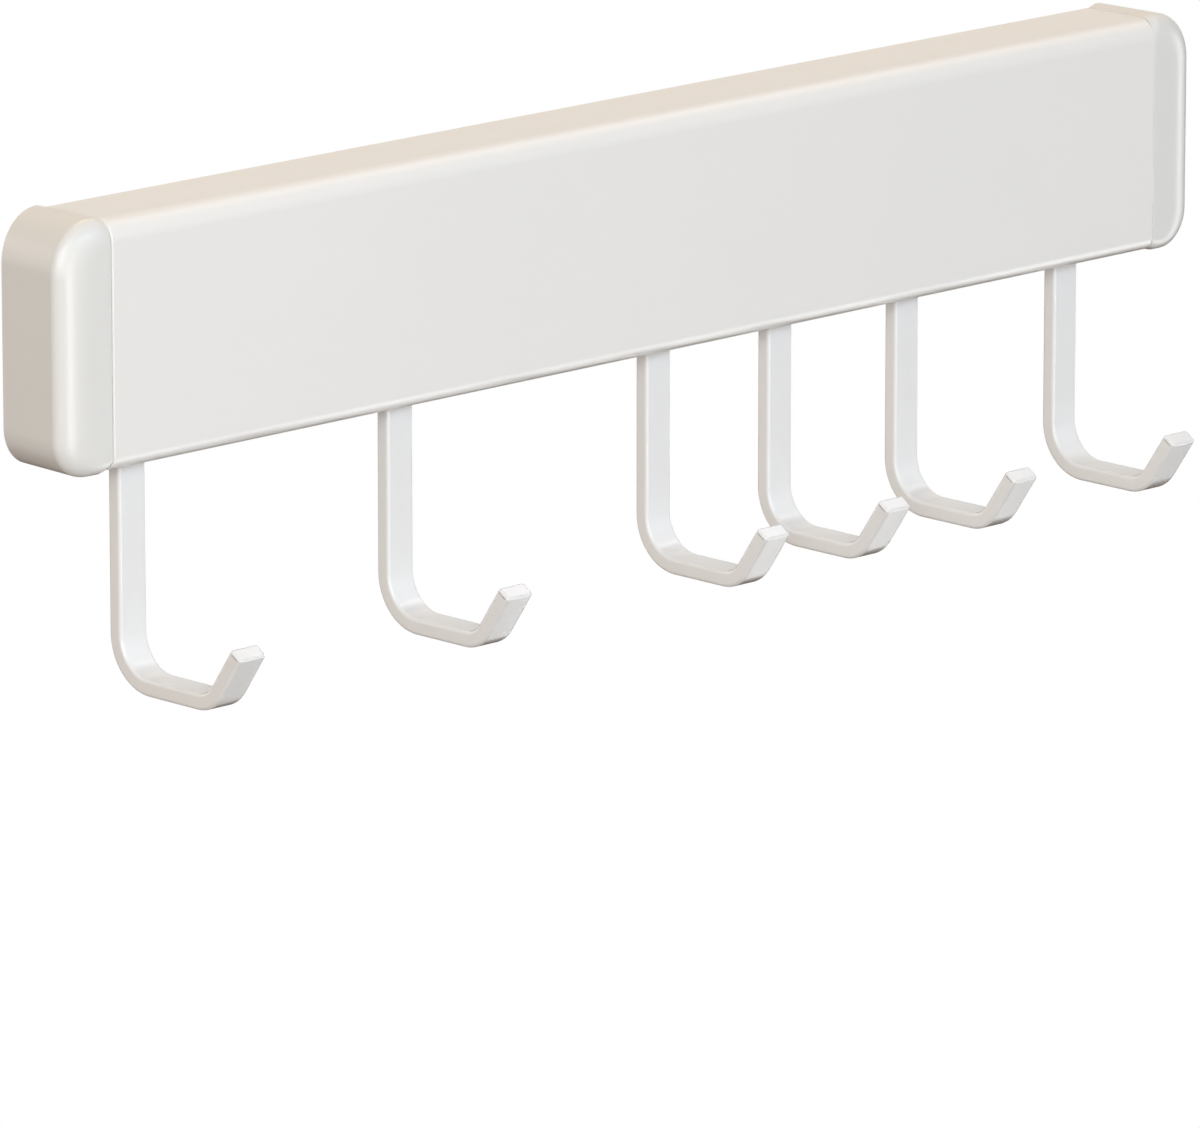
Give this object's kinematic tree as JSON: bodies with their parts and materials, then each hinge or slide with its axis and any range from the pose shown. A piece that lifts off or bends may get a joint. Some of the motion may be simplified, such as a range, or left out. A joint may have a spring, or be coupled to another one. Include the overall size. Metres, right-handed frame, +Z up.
{
  "type": "wall coat rack",
  "caption": "Wall rack with a rounded hollow rail, end caps and J-shaped hooks that slide along a slot in its underside.",
  "frame": {"origin": "middle of the rail's flat back, which lies on the wall, at half the rail's height", "axes": "+X to the right along the rail, +Y out of the rail's back into the wall, +Z up"},
  "size_m": [0.435, 0.0666, 0.1298],
  "materials": {
    "powder_coat": "white satin powder coat on extruded aluminium",
    "cap_plastic": "white moulded ABS, fine satin",
    "hook_enamel": "white semi-gloss enamel on die-cast metal",
    "glide_nylon": "natural nylon"
  },
  "bodies": {
    "root": {"rail": "powder_coat", "end_cap_left": "cap_plastic", "end_cap_right": "cap_plastic"},
    "hook_1_body": {"hook_1": "hook_enamel", "glide_1": "glide_nylon"},
    "hook_2_body": {"hook_2": "hook_enamel", "glide_2": "glide_nylon"},
    "hook_3_body": {"hook_3": "hook_enamel", "glide_3": "glide_nylon"},
    "hook_4_body": {"hook_4": "hook_enamel", "glide_4": "glide_nylon"},
    "hook_5_body": {"hook_5": "hook_enamel", "glide_5": "glide_nylon"},
    "hook_6_body": {"hook_6": "hook_enamel", "glide_6": "glide_nylon"}
  },
  "joints": [
    {"name": "hook_1_slide", "type": "slide", "parent": "root", "child": "hook_1_body", "axis": [1, 0, 0], "range_m": [-0.002, 0.0417]},
    {"name": "hook_2_slide", "type": "slide", "parent": "root", "child": "hook_2_body", "axis": [1, 0, 0], "range_m": [-0.0417, 0.0421]},
    {"name": "hook_3_slide", "type": "slide", "parent": "root", "child": "hook_3_body", "axis": [1, 0, 0], "range_m": [-0.0421, 0.0169]},
    {"name": "hook_4_slide", "type": "slide", "parent": "root", "child": "hook_4_body", "axis": [1, 0, 0], "range_m": [-0.0169, 0.0185]},
    {"name": "hook_5_slide", "type": "slide", "parent": "root", "child": "hook_5_body", "axis": [1, 0, 0], "range_m": [-0.0185, 0.0256]},
    {"name": "hook_6_slide", "type": "slide", "parent": "root", "child": "hook_6_body", "axis": [1, 0, 0], "range_m": [-0.0256, 0.0194]}
  ]
}
